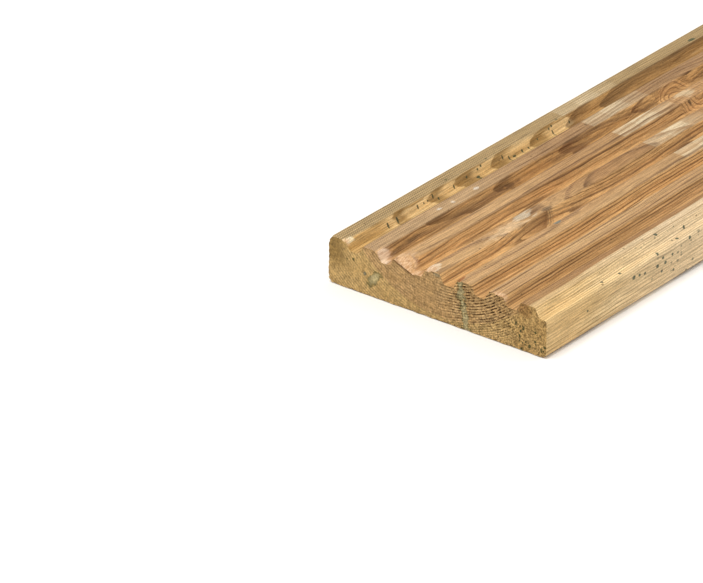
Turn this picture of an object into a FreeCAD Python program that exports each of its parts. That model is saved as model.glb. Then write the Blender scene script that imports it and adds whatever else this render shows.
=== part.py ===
# A grooved softwood decking board, planed and profiled along its whole length and sawn square at both ends.
# It lies as it is laid: smooth face down, ridges up. Lengths are millimetres, X runs across the board,
# Y along it and Z up, and the origin is the middle of the underside.
import FreeCAD, Part
import os

import Sketcher

# The driving sizes, each with what it measures. The sheet holds the numbers, and everything else is bound to it.
SIZES = [
    ("board_length", 1800.0, "sawn length, along Y"),
    ("board_width", 145.0, "planed width, along X"),
    ("board_thickness", 28.0, "underside to the tops of the ridges"),
    ("groove_depth", 5.5, "ridge top to groove floor"),
    ("groove_mouth", 11.6, "width of a groove between two ridge tops"),
    ("groove_floor", 5.6, "flat width at the bottom of a groove"),
    ("ridge_top", 9.3, "flat width of a whole ridge"),
    ("groove_count", 8, "grooves across the board, with the two that its edges cut"),
    ("first_groove_overhang", 3.4, "from the left edge out to the middle of the first groove"),
    ("ridge_round", 1.0, "rounding of the ridges' arrises"),
    ("floor_round", 0.8, "rounding at the foot of each ridge"),
    ("edge_round", 2.0, "rounding where the profile meets the board's two edges"),
    ("lower_arris_round", 3.5, "rounding of the two lower long arrises"),
]


def make_sheet(doc):
    """The spreadsheet of driving sizes: a name, a plain number with that alias, and what it measures."""
    sheet = doc.addObject("Spreadsheet::Sheet", "Sizes")
    for row, (alias, value, meaning) in enumerate(SIZES, start=1):
        sheet.set(f"A{row}", alias)
        sheet.set(f"B{row}", str(value))
        sheet.setAlias(f"B{row}", alias)
        sheet.set(f"C{row}", meaning)
    doc.recompute()
    return sheet


def origin_feature(body, role):
    """One of the body's own origin planes or axes, by its role."""
    return next(feature for feature in body.Origin.OriginFeatures if feature.Role == role)


def section_sketch(body, name):
    """An empty sketch on the body's XZ plane, where sketch X is across the board and sketch Y is up."""
    sketch = body.newObject("Sketcher::SketchObject", name)
    sketch.AttachmentSupport = [(origin_feature(body, "XZ_Plane"), "")]
    sketch.MapMode = "FlatFace"
    return sketch


def draw_outline(sketch, corners):
    """Closed outline of straight lines through the corners, joined end to start."""
    count = len(corners)
    points = [FreeCAD.Vector(x, z, 0) for x, z in corners]
    lines = [sketch.addGeometry(Part.LineSegment(points[i], points[(i + 1) % count])) for i in range(count)]
    for i in range(count):
        sketch.addConstraint(Sketcher.Constraint("Coincident", lines[i], 2, lines[(i + 1) % count], 1))
    return lines


def bind(sketch, constraint, name, formula):
    """Adds a dimension to the sketch, names it and binds it to the sheet."""
    index = sketch.addConstraint(constraint)
    sketch.renameConstraint(index, name)
    sketch.setExpression(f"Constraints.{name}", formula)


def cut_whole_length(body, sketch, name):
    """A pocket of the sketch through the whole board, both ways from the middle."""
    pocket = body.newObject("PartDesign::Pocket", name)
    pocket.Profile = sketch
    pocket.Type = "ThroughAll"
    pocket.Midplane = True
    return pocket


def long_edges(shape, wanted, reach):
    """Names of the edges that run the whole length of the board and whose middle passes wanted(x, z)."""
    names = []
    for number, edge in enumerate(shape.Edges, start=1):
        box = edge.BoundBox
        if box.YLength > reach and wanted(box.Center.x, box.Center.z):
            names.append(f"Edge{number}")
    return names


def round_edges(body, base, name, edges, radius):
    """A fillet on the named edges of base, its radius bound to the sheet."""
    fillet = body.newObject("PartDesign::Fillet", name)
    fillet.Base = (base, edges)
    fillet.setExpression("Radius", radius)
    return fillet


def make_board(doc, sheet):
    """The board: a planed plank, its grooves cut by one cutter repeated across, and its arrises rounded."""
    body = doc.addObject("PartDesign::Body", "decking_board")
    body.Label = "decking_board"

    # The plank, a rectangle centred on the board and drawn out to its length.
    half_width = sheet.board_width / 2
    plank = section_sketch(body, "plank_section")
    corners = [(-half_width, 0), (half_width, 0), (half_width, sheet.board_thickness)]
    corners.append((-half_width, sheet.board_thickness))
    bottom, right, top, left = draw_outline(plank, corners)
    for line in (bottom, top):
        plank.addConstraint(Sketcher.Constraint("Horizontal", line))
    for line in (left, right):
        plank.addConstraint(Sketcher.Constraint("Vertical", line))
    plank.addConstraint(Sketcher.Constraint("Symmetric", bottom, 1, bottom, 2, -1, 1))
    bind(plank, Sketcher.Constraint("DistanceX", bottom, 1, bottom, 2, sheet.board_width),
         "width", "Sizes.board_width")
    bind(plank, Sketcher.Constraint("DistanceY", right, 1, right, 2, sheet.board_thickness),
         "thickness", "Sizes.board_thickness")
    pad = body.newObject("PartDesign::Pad", "plank")
    pad.Profile = plank
    pad.Midplane = True
    pad.setExpression("Length", "Sizes.board_length")
    doc.recompute()

    # One groove, as the cutter leaves it: a trapezoid from the ridge tops down to its flat floor.
    groove = section_sketch(body, "groove_section")
    middle = -half_width - sheet.first_groove_overhang
    floor_level = sheet.board_thickness - sheet.groove_depth
    outline = [(middle - sheet.groove_floor / 2, floor_level), (middle + sheet.groove_floor / 2, floor_level)]
    outline.append((middle + sheet.groove_mouth / 2, sheet.board_thickness))
    outline.append((middle - sheet.groove_mouth / 2, sheet.board_thickness))
    floor, right_flank, mouth, left_flank = draw_outline(groove, outline)
    groove.addConstraint(Sketcher.Constraint("Horizontal", floor))
    groove.addConstraint(Sketcher.Constraint("Horizontal", mouth))
    groove.addConstraint(Sketcher.Constraint("Equal", left_flank, right_flank))
    bind(groove, Sketcher.Constraint("DistanceX", floor, 1, floor, 2, sheet.groove_floor),
         "floor", "Sizes.groove_floor")
    bind(groove, Sketcher.Constraint("DistanceX", mouth, 2, mouth, 1, sheet.groove_mouth),
         "mouth", "Sizes.groove_mouth")
    bind(groove, Sketcher.Constraint("DistanceY", -1, 1, mouth, 2, sheet.board_thickness),
         "top", "Sizes.board_thickness")
    bind(groove, Sketcher.Constraint("DistanceY", floor, 1, mouth, 2, sheet.groove_depth),
         "depth", "Sizes.groove_depth")
    bind(groove, Sketcher.Constraint("DistanceX", mouth, 1, -1, 1, -middle - sheet.groove_mouth / 2),
         "reach", "Sizes.board_width / 2 + Sizes.first_groove_overhang - Sizes.groove_mouth / 2")
    cut = cut_whole_length(body, groove, "groove")
    doc.recompute()

    # The same cutter repeated across the board, one ridge and one groove further each time.
    grooves = body.newObject("PartDesign::LinearPattern", "grooves")
    grooves.Originals = [cut]
    grooves.Direction = (groove, ["H_Axis"])
    grooves.setExpression("Length", "(Sizes.groove_count - 1) * (Sizes.groove_mouth + Sizes.ridge_top)")
    grooves.setExpression("Occurrences", "Sizes.groove_count")
    body.Tip = grooves
    doc.recompute()

    # The arrises: the ridges' tops, the feet of the ridges, the two outer edges and the lower corners.
    near = 0.01
    reach = sheet.board_length - near

    def inside(x):
        return abs(x) < half_width - near

    def at_level(z, level):
        return abs(z - level) < near

    tops = long_edges(grooves.Shape, lambda x, z: inside(x) and at_level(z, sheet.board_thickness), reach)
    rounded = round_edges(body, grooves, "ridge_rounding", tops, "Sizes.ridge_round")
    doc.recompute()
    feet = long_edges(rounded.Shape, lambda x, z: inside(x) and at_level(z, floor_level), reach)
    rounded = round_edges(body, rounded, "floor_rounding", feet, "Sizes.floor_round")
    doc.recompute()
    outer = long_edges(rounded.Shape, lambda x, z: not inside(x) and z > floor_level - near, reach)
    rounded = round_edges(body, rounded, "edge_rounding", outer, "Sizes.edge_round")
    doc.recompute()
    lower = long_edges(rounded.Shape, lambda x, z: not inside(x) and at_level(z, 0), reach)
    rounded = round_edges(body, rounded, "lower_arris_rounding", lower, "Sizes.lower_arris_round")
    body.Tip = rounded
    doc.recompute()
    return body


def check(doc, bodies):
    """Stops if any object failed to build, or if a piece isn't one valid solid."""
    failed = [o.Name for o in doc.Objects if "Invalid" in o.State or "Error" in o.State]
    if failed:
        raise RuntimeError(f"these objects failed: {failed}")
    for body in bodies:
        if body.Shape.isNull() or not body.Shape.isValid() or len(body.Shape.Solids) != 1:
            raise RuntimeError(f"{body.Label} isn't one valid solid")


def main():
    doc = FreeCAD.newDocument("DeckingBoard")
    sheet = make_sheet(doc)
    board = make_board(doc, sheet)
    check(doc, [board])
    os.makedirs("parts", exist_ok=True)
    board.Shape.exportStep(f"parts/{board.Label}.step")
    box = board.Shape.BoundBox
    print(f"{board.Label}: {box.XLength:.2f} x {box.YLength:.2f} x {box.ZLength:.2f} mm, "
          f"{board.Shape.Volume / 1000:.1f} cm3, {len(board.Shape.Faces)} faces")


main()
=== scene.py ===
import math

import bpy
from mathutils import Matrix, Vector, noise
from mathutils.geometry import delaunay_2d_cdt


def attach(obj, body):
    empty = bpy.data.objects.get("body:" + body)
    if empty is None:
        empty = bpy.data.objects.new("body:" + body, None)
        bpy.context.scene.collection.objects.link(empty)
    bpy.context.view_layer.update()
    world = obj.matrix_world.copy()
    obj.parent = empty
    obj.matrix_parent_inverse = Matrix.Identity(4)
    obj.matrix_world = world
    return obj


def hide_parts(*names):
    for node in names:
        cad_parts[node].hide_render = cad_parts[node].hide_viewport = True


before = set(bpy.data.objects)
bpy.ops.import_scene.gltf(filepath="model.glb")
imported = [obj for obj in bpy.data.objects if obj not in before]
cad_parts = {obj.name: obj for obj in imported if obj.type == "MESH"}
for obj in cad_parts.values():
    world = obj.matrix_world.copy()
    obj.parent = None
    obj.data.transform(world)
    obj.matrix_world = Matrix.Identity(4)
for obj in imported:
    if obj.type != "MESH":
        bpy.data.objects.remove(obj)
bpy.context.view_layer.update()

# The camera. A long lens stands about four metres off, to the right of the board's near end and above it,
# so that the ridges run almost parallel up and out of the frame.
yaw = math.radians(38.053)
elevation = math.radians(27.175)
roll = math.radians(0.074)
sensor_width = 36.0
focal_length = 6998.1 / 703 * sensor_width

ahead = Vector((-math.sin(yaw) * math.cos(elevation), math.cos(yaw) * math.cos(elevation), -math.sin(elevation)))
level = ahead.cross(Vector((0, 0, 1))).normalized()
upright = level.cross(ahead)
right = math.cos(roll) * level + math.sin(roll) * upright
up = math.cos(roll) * upright - math.sin(roll) * level

lens = bpy.data.cameras.new("camera")
lens.sensor_width = sensor_width
lens.lens = focal_length
lens.clip_end = 50
camera = bpy.data.objects.new("camera", lens)
pose = Matrix((right, up, -ahead)).transposed().to_4x4()
pose.translation = (1.9849, -3.5080, 1.6992)
camera.matrix_world = pose
bpy.context.collection.objects.link(camera)
bpy.context.scene.camera = camera
bpy.context.scene.view_settings.view_transform = "Standard"


# The studio floor. A plain pale sheet of matt laminate, so large that its edges never show, which takes the
# board's soft shadow. The room round it is white.
def linear(code):
    """An sRGB hex colour as the linear colour that a socket takes."""
    parts = [int(code[i:i + 2], 16) / 255 for i in (1, 3, 5)]
    return [c / 12.92 if c <= 0.04045 else ((c + 0.055) / 1.055) ** 2.4 for c in parts] + [1.0]


def add_node(tree, kind, settings, links):
    """Adds one node with its settings, and sets or links its inputs by number or by name."""
    node = tree.nodes.new(kind)
    for name, value in settings.items():
        setattr(node, name, value)
    for name, value in links.items():
        if isinstance(value, bpy.types.Node):
            value = next(socket for socket in value.outputs if socket.enabled)
        if isinstance(value, bpy.types.NodeSocket):
            tree.links.new(value, node.inputs[name])
        else:
            node.inputs[name].default_value = value
    return node


# Matt white laminate: even and almost without gloss, so it only holds the shadow.
laminate = bpy.data.materials.new("matt_white_laminate")
laminate.use_nodes = True
laminate.node_tree.nodes.clear()
skin = add_node(laminate.node_tree, "ShaderNodeBsdfPrincipled", {},
                {"Base Color": linear("#f3f2ef"), "Roughness": 0.85, "Specular IOR Level": 0.2})
add_node(laminate.node_tree, "ShaderNodeOutputMaterial", {}, {0: skin})

floor_reach = 9.0
floor_level = -0.0003
corners = [(-floor_reach, -floor_reach), (floor_reach, -floor_reach), (floor_reach, floor_reach),
           (-floor_reach, floor_reach)]
floor_mesh = bpy.data.meshes.new("studio_floor")
floor_mesh.from_pydata([(x, y, floor_level) for x, y in corners], [], [(0, 1, 2, 3)])
floor_mesh.materials.append(laminate)
studio_floor = bpy.data.objects.new("studio_floor", floor_mesh)
bpy.context.collection.objects.link(studio_floor)

room = bpy.data.worlds.new("white_room")
room.use_nodes = True
room.node_tree.nodes.clear()
fill_strength = 0.62
seen = add_node(room.node_tree, "ShaderNodeLightPath", {}, {})
glossy = add_node(room.node_tree, "ShaderNodeMath", {"operation": "MAXIMUM"},
                  {0: seen.outputs["Is Camera Ray"], 1: seen.outputs["Is Glossy Ray"]})
white_seen = add_node(room.node_tree, "ShaderNodeMath", {"operation": "MAXIMUM"},
                      {0: glossy, 1: seen.outputs["Is Transmission Ray"]})
strength = add_node(room.node_tree, "ShaderNodeMix", {"data_type": "FLOAT"},
                    {0: white_seen, 2: fill_strength, 3: 1.0})
sky = add_node(room.node_tree, "ShaderNodeBackground", {}, {"Color": (1, 1, 1, 1), "Strength": strength})
add_node(room.node_tree, "ShaderNodeOutputWorld", {}, {0: sky})
bpy.context.scene.world = room

# Two lamps in large soft boxes: the key high overhead on the left, and a weak one ahead on the right.
for name, place, aim, size, watts in (
        ("key_softbox", (-0.1, -1.8, 3.1), (0, -0.75, 0), 1.4, 74),
        ("rim_softbox", (1.9, 1.6, 2.4), (0, -0.75, 0), 1.4, 20)):
    lamp = bpy.data.lights.new(name, "AREA")
    lamp.shape = "SQUARE"
    lamp.size = size
    lamp.energy = watts
    box = bpy.data.objects.new(name, lamp)
    box.location = place
    box.rotation_euler = (Vector(aim) - Vector(place)).to_track_quat("-Z", "Y").to_euler()
    bpy.context.collection.objects.link(box)

# The board. Pressure-treated pine, planed all round, with drainage grooves milled down its upper face by one
# set of cutters, then cross-cut by a coarse saw. The near end lost part of a ridge to the saw.
# Its section repeats the CAD solid's, in millimetres: x across, y along, z up.
board_length = 1800.0
board_width = 145.0
board_thickness = 28.0
groove_depth = 5.5
groove_mouth = 11.6
groove_floor = 5.6
ridge_top = 9.3
first_groove_overhang = 3.4
groove_count = 8
ridge_round = 1.0
floor_round = 0.8
edge_round = 2.0
lower_arris_round = 3.5

half_width = board_width / 2
near_end = -board_length / 2
floor_height = board_thickness - groove_depth
pitch = groove_mouth + ridge_top
middles = [-half_width - first_groove_overhang + pitch * k for k in range(groove_count)]

# Corners of the section, anticlockwise seen from the near end: place, rounding, and the spacing of the mesh
# points on the side that follows.
section = [(-half_width, 0, lower_arris_round, 4.0), (half_width, 0, lower_arris_round, 1.6)]
section.append((half_width, floor_height, edge_round, 1.1))
section.append((middles[-1] - groove_floor / 2, floor_height, floor_round, 1.2))
section.append((middles[-1] - groove_mouth / 2, board_thickness, ridge_round, 1.1))
for middle in reversed(middles[1:-1]):
    section.append((middle + groove_mouth / 2, board_thickness, ridge_round, 1.2))
    section.append((middle + groove_floor / 2, floor_height, floor_round, 1.1))
    section.append((middle - groove_floor / 2, floor_height, floor_round, 1.2))
    section.append((middle - groove_mouth / 2, board_thickness, ridge_round, 1.1))
section.append((middles[0] + groove_mouth / 2, board_thickness, ridge_round, 1.2))
flank_slope = groove_depth / ((groove_mouth - groove_floor) / 2)
chamfer_foot = board_thickness - (middles[0] + groove_mouth / 2 + half_width) * flank_slope
section.append((-half_width, chamfer_foot, edge_round, 1.6))


def rounded_outline(corners):
    """The section's points in order, with each corner turned into an arc and each side divided evenly."""
    count = len(corners)
    arcs = []
    for i, (x, z, radius, spacing) in enumerate(corners):
        here = Vector((x, z))
        back = (Vector(corners[i - 1][:2]) - here).normalized()
        on = (Vector(corners[(i + 1) % count][:2]) - here).normalized()
        half_angle = back.angle(on) / 2
        setback = radius / math.tan(half_angle)
        centre = here + (back + on).normalized() * radius / math.sin(half_angle)
        start = here + back * setback - centre
        turn = start.angle_signed(here + on * setback - centre)
        steps = max(2, round(abs(turn) * radius / 0.9))
        arc = []
        for step in range(steps + 1):
            spin = -turn * step / steps
            c, s = math.cos(spin), math.sin(spin)
            arc.append(centre + Vector((c * start.x - s * start.y, s * start.x + c * start.y)))
        arcs.append(arc)
    points = []
    for i, arc in enumerate(arcs):
        points += arc
        last, target = arc[-1], arcs[(i + 1) % count][0]
        steps = max(1, round((target - last).length / corners[i][3]))
        points += [last.lerp(target, step / steps) for step in range(1, steps)]
    return points


outline = rounded_outline(section)

# Stations along the board: close where the saw tore it and where the growth shows large, wide further on.
stations = [near_end]
for reach, spacing in ((40, 1.0), (345, 2.2), (1776, 14.0), (1800, 2.0)):
    start = stations[-1]
    steps = max(1, round((near_end + reach - start) / spacing))
    stations += [start + (near_end + reach - start) * step / steps for step in range(1, steps + 1)]


# The breakout. The third ridge's right side came away with the saw, as a slope that climbs out of the third
# groove's floor, and left nicks at the ends of its neighbours.
def torn_height(x, y):
    """How high the wood still stands near the saw cut, in millimetres."""
    inward = y - near_end
    height = 100.0
    if -31 < x < -14.5 and inward < 18:
        fibre = noise.noise(Vector((x / 0.9, y / 7, 3.0)))
        height = 27.2 - 0.40 * (x + 29.0) + 6.2 * (max(inward, 0) / 13.0) ** 1.3 + 0.45 * fibre
    for left, nick_right, depth, run in ((-8.0, -3.4, 1.3, 4.5), (-41.4, -38.6, 1.0, 7.0), (12.6, 16.2, 0.8, 2.5),
                                    (-62.8, -60.2, 0.9, 3.0), (38.0, 44.0, 0.6, 1.8)):
        if left < x < nick_right and inward < run:
            ragged = 0.5 * noise.noise(Vector((x / 0.8, y / 3, 9.0)))
            height = min(height, board_thickness - (depth + ragged) * (1 - inward / run))
    return height


def torn_share(x, y, z):
    """How much of the surface here is torn fibre instead of planed wood, from 0 to 1."""
    inward = y - near_end
    shared = 0.0
    patches = ((-24.0, 24.0, 7.0, 13.0), (-37.5, 24.5, 5.0, 11.0), (-14.0, 22.5, 4.0, 6.0), (-5.0, 28.0, 3.6, 7.5),
               (41.0, 28.0, 5.0, 4.0), (-61.0, 27.0, 2.2, 4.0))
    for middle_x, middle_z, half, run in patches:
        ragged = 0.35 * noise.noise(Vector((x / 1.6, y / 5, z / 1.6)))
        apart = math.sqrt(((x - middle_x) / half) ** 2 + ((z - middle_z) / 6) ** 2 + (inward / run) ** 2) + ragged
        shared = max(shared, min(1.0, max(0.0, (1.2 - apart) / 0.55)))
    return shared if z > 15 else 0.0


points, torn = [], []
count = len(outline)
for y in stations:
    for spot in outline:
        height = min(spot.y, torn_height(spot.x, y)) if spot.y > 15 else spot.y
        points.append((spot.x, y, height))
        torn.append(torn_share(spot.x, y, height))
faces = []
for row in range(len(stations) - 1):
    for i in range(count):
        j = (i + 1) % count
        faces.append((row * count + i, (row + 1) * count + i, (row + 1) * count + j, row * count + j))

# The two sawn ends, each filled with small uneven triangles that the saw's roughness can lift.
noise.seed_set(28)
for row, spacing, facing in ((0, 0.75, 1), (len(stations) - 1, 1.1, -1)):
    rim = [Vector((points[row * count + i][0], points[row * count + i][2])) for i in range(count)]
    y = stations[row]
    inner = []
    for column in range(int(board_width / spacing)):
        for step in range(int(board_thickness / spacing)):
            x = -half_width + (column + 0.5) * spacing
            z = (step + 0.5) * spacing
            shift = noise.noise_vector(Vector((x * 1.7, z * 1.7, y))) * 0.35 * spacing
            spot = Vector((x + shift.x, z + shift.y))
            inside = False
            clear = True
            for i in range(count):
                a, b = rim[i - 1], rim[i]
                if (a.y > spot.y) != (b.y > spot.y):
                    if spot.x < a.x + (b.x - a.x) * (spot.y - a.y) / (b.y - a.y):
                        inside = not inside
                if abs(b.x - spot.x) < 0.55 * spacing and abs(b.y - spot.y) < 0.55 * spacing:
                    clear = False
            if inside and clear:
                inner.append(spot)
    edges = [(i, (i + 1) % count) for i in range(count)]
    spots, _, triangles, origins, _, _ = delaunay_2d_cdt(rim + inner, edges, [], 1, 1e-5)
    number = {}
    for i, origin in enumerate(origins):
        if origin and origin[0] < count:
            number[i] = row * count + origin[0]
        else:
            number[i] = len(points)
            points.append((spots[i].x, y, spots[i].y))
            torn.append(0.0)
    for triangle in triangles:
        corner = [number[i] for i in triangle]
        a, b, c = (Vector(points[i]) for i in corner[:3])
        if (b - a).cross(c - a).y * facing > 0:
            corner.reverse()
        faces.append(tuple(corner))

board_mesh = bpy.data.meshes.new("decking_board_wood")
board_mesh.from_pydata([(x / 1000, y / 1000, z / 1000) for x, y, z in points], [], faces)
board_mesh.attributes.new("torn", "FLOAT", "POINT").data.foreach_set("value", torn)
board_mesh.update()
print("board mesh:", len(points), "points,", sum(len(f) - 2 for f in faces), "triangles")


# How the tree grew. The stem's pith ran above the board, so the rings hang through it in wide bows, far apart
# in the heart and closer in the pale sapwood. They swerve where branches grew, and a few years were hard and dark.
pith_across = 4.0
pith_height = 75.0
# Swerves sideways: place across and along, shift, spread, width and length of the reach.
swerves = ((11.0, -806.0, 4.6, 0.0, 26.0, 58.0), (-22.0, -638.0, -1.0, 0.45, 24.0, 44.0),
           (20.0, -330.0, 2.5, 0.25, 20.0, 60.0), (-30.0, 120.0, -3.0, 0.30, 24.0, 55.0),
           (34.0, 520.0, 3.0, 0.30, 20.0, 60.0))
# Swells of the rings away from the pith: place, height, width and length.
swells = ((-2.0, -815.0, 3.4, 9.0, 24.0), (-1.7, -738.0, -2.4, 12.0, 44.0), (16.0, -690.0, -1.2, 14.0, 50.0), (6.0, -560.0, 2.2, 12.0, 50.0),
          (-4.0, -420.0, -2.0, 14.0, 70.0), (0.0, -120.0, 2.6, 13.0, 60.0), (8.0, 330.0, -2.2, 14.0, 80.0),
          (-2.0, 640.0, 2.4, 12.0, 60.0))
branches = ((-22.0, -636.0, 15.0), (22.0, -330.0, 6.5), (-33.0, 122.0, 10.0), (37.0, 521.0, 7.5), (-8.0, 742.0, 5.0))
dark_years = ((47.5, 0.35), (51.9, 0.4), (53.8, 0.5), (57.4, 0.3), (61.8, 0.3), (64.5, 0.5), (66.3, 0.45),
              (70.2, 0.3), (77.6, 0.3))


def between(tree, value, low, high, soft):
    """One inside a span of a value and none outside it, with soft ends."""
    rise = add_node(tree, "ShaderNodeMapRange", {"interpolation_type": "SMOOTHSTEP"},
                    {0: value, 1: low - soft, 2: low + soft, 3: 0.0, 4: 1.0})
    fall = add_node(tree, "ShaderNodeMapRange", {"interpolation_type": "SMOOTHSTEP"},
                    {0: value, 1: high - soft, 2: high + soft, 3: 1.0, 4: 0.0})
    return add_node(tree, "ShaderNodeMath", {"operation": "MULTIPLY"}, {0: rise, 1: fall})


def nearness(tree, point, across, along, width, length):
    """One at a place of the board, fading with the distance from it."""
    apart = add_node(tree, "ShaderNodeVectorMath", {"operation": "SUBTRACT"}, {0: point, 1: (across, along, 0)})
    apart = add_node(tree, "ShaderNodeVectorMath", {"operation": "MULTIPLY"},
                     {0: apart, 1: (1 / width, 1 / length, 0)})
    square = add_node(tree, "ShaderNodeVectorMath", {"operation": "DOT_PRODUCT"}, {0: apart, 1: apart})
    fall = add_node(tree, "ShaderNodeMath", {"operation": "MULTIPLY"}, {0: square, 1: -1.0})
    return add_node(tree, "ShaderNodeMath", {"operation": "EXPONENT"}, {0: fall})


def stretched_noise(tree, point, scales, detail):
    """Noise whose grain is as long along each axis as the scales say, in the point's own units."""
    shrunk = add_node(tree, "ShaderNodeVectorMath", {"operation": "MULTIPLY"},
                      {0: point, 1: [1 / scale for scale in scales]})
    return add_node(tree, "ShaderNodeTexNoise", {}, {"Vector": shrunk, "Scale": 1.0, "Detail": detail})


def grow_wood(tree, point):
    """Adds the stem's growth at a point in millimetres, for a relief or a finish alike, and names what comes out."""
    place = add_node(tree, "ShaderNodeSeparateXYZ", {}, {0: point})
    x, y, z = place.outputs
    for across, along, shift, spread, width, length in swerves:
        near = nearness(tree, point, across, along, width, length)
        offset = add_node(tree, "ShaderNodeMath", {"operation": "MULTIPLY_ADD"},
                          {0: x, 1: spread, 2: shift - spread * across})
        moved = add_node(tree, "ShaderNodeMath", {"operation": "MULTIPLY"}, {0: offset, 1: near})
        x = add_node(tree, "ShaderNodeMath", {"operation": "SUBTRACT"}, {0: x, 1: moved})
    phase = add_node(tree, "ShaderNodeMath", {"operation": "MULTIPLY_ADD"}, {0: y, 1: 1 / 260, 2: 900 / 260})
    sweep = add_node(tree, "ShaderNodeMath", {"operation": "SINE"}, {0: phase})
    out = add_node(tree, "ShaderNodeMath", {"operation": "MULTIPLY_ADD"}, {0: sweep, 1: 3.0, 2: x})
    out = add_node(tree, "ShaderNodeMath", {"operation": "SUBTRACT"}, {0: out, 1: pith_across})
    below = add_node(tree, "ShaderNodeMath", {"operation": "MULTIPLY_ADD"}, {0: sweep, 1: 3.0, 2: pith_height})
    below = add_node(tree, "ShaderNodeMath", {"operation": "SUBTRACT"}, {0: below, 1: z})
    spoke = add_node(tree, "ShaderNodeCombineXYZ", {}, {0: out, 1: below})
    radius = add_node(tree, "ShaderNodeVectorMath", {"operation": "LENGTH"}, {0: spoke})
    angle = add_node(tree, "ShaderNodeMath", {"operation": "ARCTAN2"}, {0: out, 1: below})
    arc = add_node(tree, "ShaderNodeMath", {"operation": "MULTIPLY"}, {0: angle, 1: radius})
    for across, along, height, width, length in swells:
        near = nearness(tree, point, across, along, width, length)
        radius = add_node(tree, "ShaderNodeMath", {"operation": "MULTIPLY_ADD"}, {0: near, 1: height, 2: radius})
    # The rings' waviness: swells as long as a hand, waves as long as a thumb, and fine wrinkles.
    for scales, depth in (((34, 60, 34), 1.7), ((16, 26, 16), 0.7), ((4, 12, 4), 0.28)):
        wave = stretched_noise(tree, point, scales, 1.0)
        centred = add_node(tree, "ShaderNodeMath", {"operation": "SUBTRACT"}, {0: wave, 1: 0.5})
        radius = add_node(tree, "ShaderNodeMath", {"operation": "MULTIPLY_ADD"}, {0: centred, 1: depth, 2: radius})
    slowing = add_node(tree, "ShaderNodeMapRange", {}, {0: place.outputs[0], 1: 5.0, 2: 30.0, 3: 60.0, 4: 95.0})
    young = add_node(tree, "ShaderNodeMath", {"operation": "MINIMUM"}, {0: radius, 1: slowing})
    rate = add_node(tree, "ShaderNodeMath", {"operation": "MULTIPLY_ADD"}, {0: young, 1: 0.0034, 2: 0.24 - 0.62})
    ring = add_node(tree, "ShaderNodeMath", {"operation": "MULTIPLY"}, {0: rate, 1: young})
    ring = add_node(tree, "ShaderNodeMath", {"operation": "MULTIPLY_ADD"}, {0: radius, 1: 0.62, 2: ring})
    dark = 0.0
    for year_radius, half in dark_years:
        off = add_node(tree, "ShaderNodeMath", {"operation": "SUBTRACT"}, {0: radius, 1: year_radius})
        inner = add_node(tree, "ShaderNodeMapRange", {"interpolation_type": "SMOOTHSTEP"},
                         {0: off, 1: -1.5 * half, 2: 0.5 * half, 3: 0.0, 4: 1.0})
        outer = add_node(tree, "ShaderNodeMapRange", {"interpolation_type": "SMOOTHSTEP"},
                         {0: off, 1: 0.7 * half, 2: 0.7 * half + 0.16, 3: 1.0, 4: 0.0})
        band = add_node(tree, "ShaderNodeMath", {"operation": "MULTIPLY"}, {0: inner, 1: outer})
        dark = add_node(tree, "ShaderNodeMath", {"operation": "MAXIMUM"}, {0: dark, 1: band})
    knot, rim = 0.0, 0.0
    for across, along, size in branches:
        swept = 3.0 * math.sin((along + 900) / 260)
        foot = (across + swept - pith_across, pith_height + swept - board_thickness)
        bearing = math.atan2(*foot)
        distance = math.hypot(*foot)
        young = min(distance, 60.0)
        ring_here = (0.24 - 0.62 + 0.0034 * young) * young + 0.62 * distance
        turned = add_node(tree, "ShaderNodeMath", {"operation": "SUBTRACT"}, {0: angle, 1: bearing})
        beside = add_node(tree, "ShaderNodeMath", {"operation": "MULTIPLY"}, {0: turned, 1: radius})
        beyond = add_node(tree, "ShaderNodeMath", {"operation": "SUBTRACT"}, {0: y, 1: along})
        beyond = add_node(tree, "ShaderNodeMath", {"operation": "MULTIPLY"}, {0: beyond, 1: 0.8})
        gap = add_node(tree, "ShaderNodeCombineXYZ", {}, {0: beside, 1: beyond})
        gap = add_node(tree, "ShaderNodeVectorMath", {"operation": "LENGTH"}, {0: gap})
        gap = add_node(tree, "ShaderNodeMath", {"operation": "MULTIPLY_ADD"}, {0: centred, 1: 2.2, 2: gap})
        within = add_node(tree, "ShaderNodeMapRange", {"interpolation_type": "SMOOTHSTEP"},
                          {0: gap, 1: size + 2.5, 2: size - 2.5, 3: 0.0, 4: 1.0})
        own_ring = add_node(tree, "ShaderNodeMath", {"operation": "MULTIPLY_ADD"},
                            {0: gap, 1: 0.42, 2: ring_here - 0.42 * size})
        ring = add_node(tree, "ShaderNodeMix", {"data_type": "FLOAT"}, {0: within, 2: ring, 3: own_ring})
        knot = add_node(tree, "ShaderNodeMath", {"operation": "MAXIMUM"}, {0: knot, 1: within})
        edge = between(tree, gap, size - 1.0, size + 0.1, 0.5)
        rim = add_node(tree, "ShaderNodeMath", {"operation": "MAXIMUM"}, {0: rim, 1: edge})
    stem = add_node(tree, "ShaderNodeMath", {"operation": "SUBTRACT"}, {0: 1.0, 1: knot})
    dark = add_node(tree, "ShaderNodeMath", {"operation": "MULTIPLY"}, {0: dark, 1: stem})
    year = add_node(tree, "ShaderNodeMath", {"operation": "FLOOR"}, {0: ring})
    season = add_node(tree, "ShaderNodeMath", {"operation": "FRACT"}, {0: ring})
    weather = add_node(tree, "ShaderNodeTexWhiteNoise", {"noise_dimensions": "1D"}, {"W": year})
    turn = add_node(tree, "ShaderNodeMath", {"operation": "MULTIPLY_ADD"}, {0: weather, 1: 0.30, 2: 0.40})
    summer = add_node(tree, "ShaderNodeMapRange", {"interpolation_type": "SMOOTHSTEP"},
                      {0: season, 1: turn, 2: 0.90, 3: 0.0, 4: 1.0})
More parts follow.
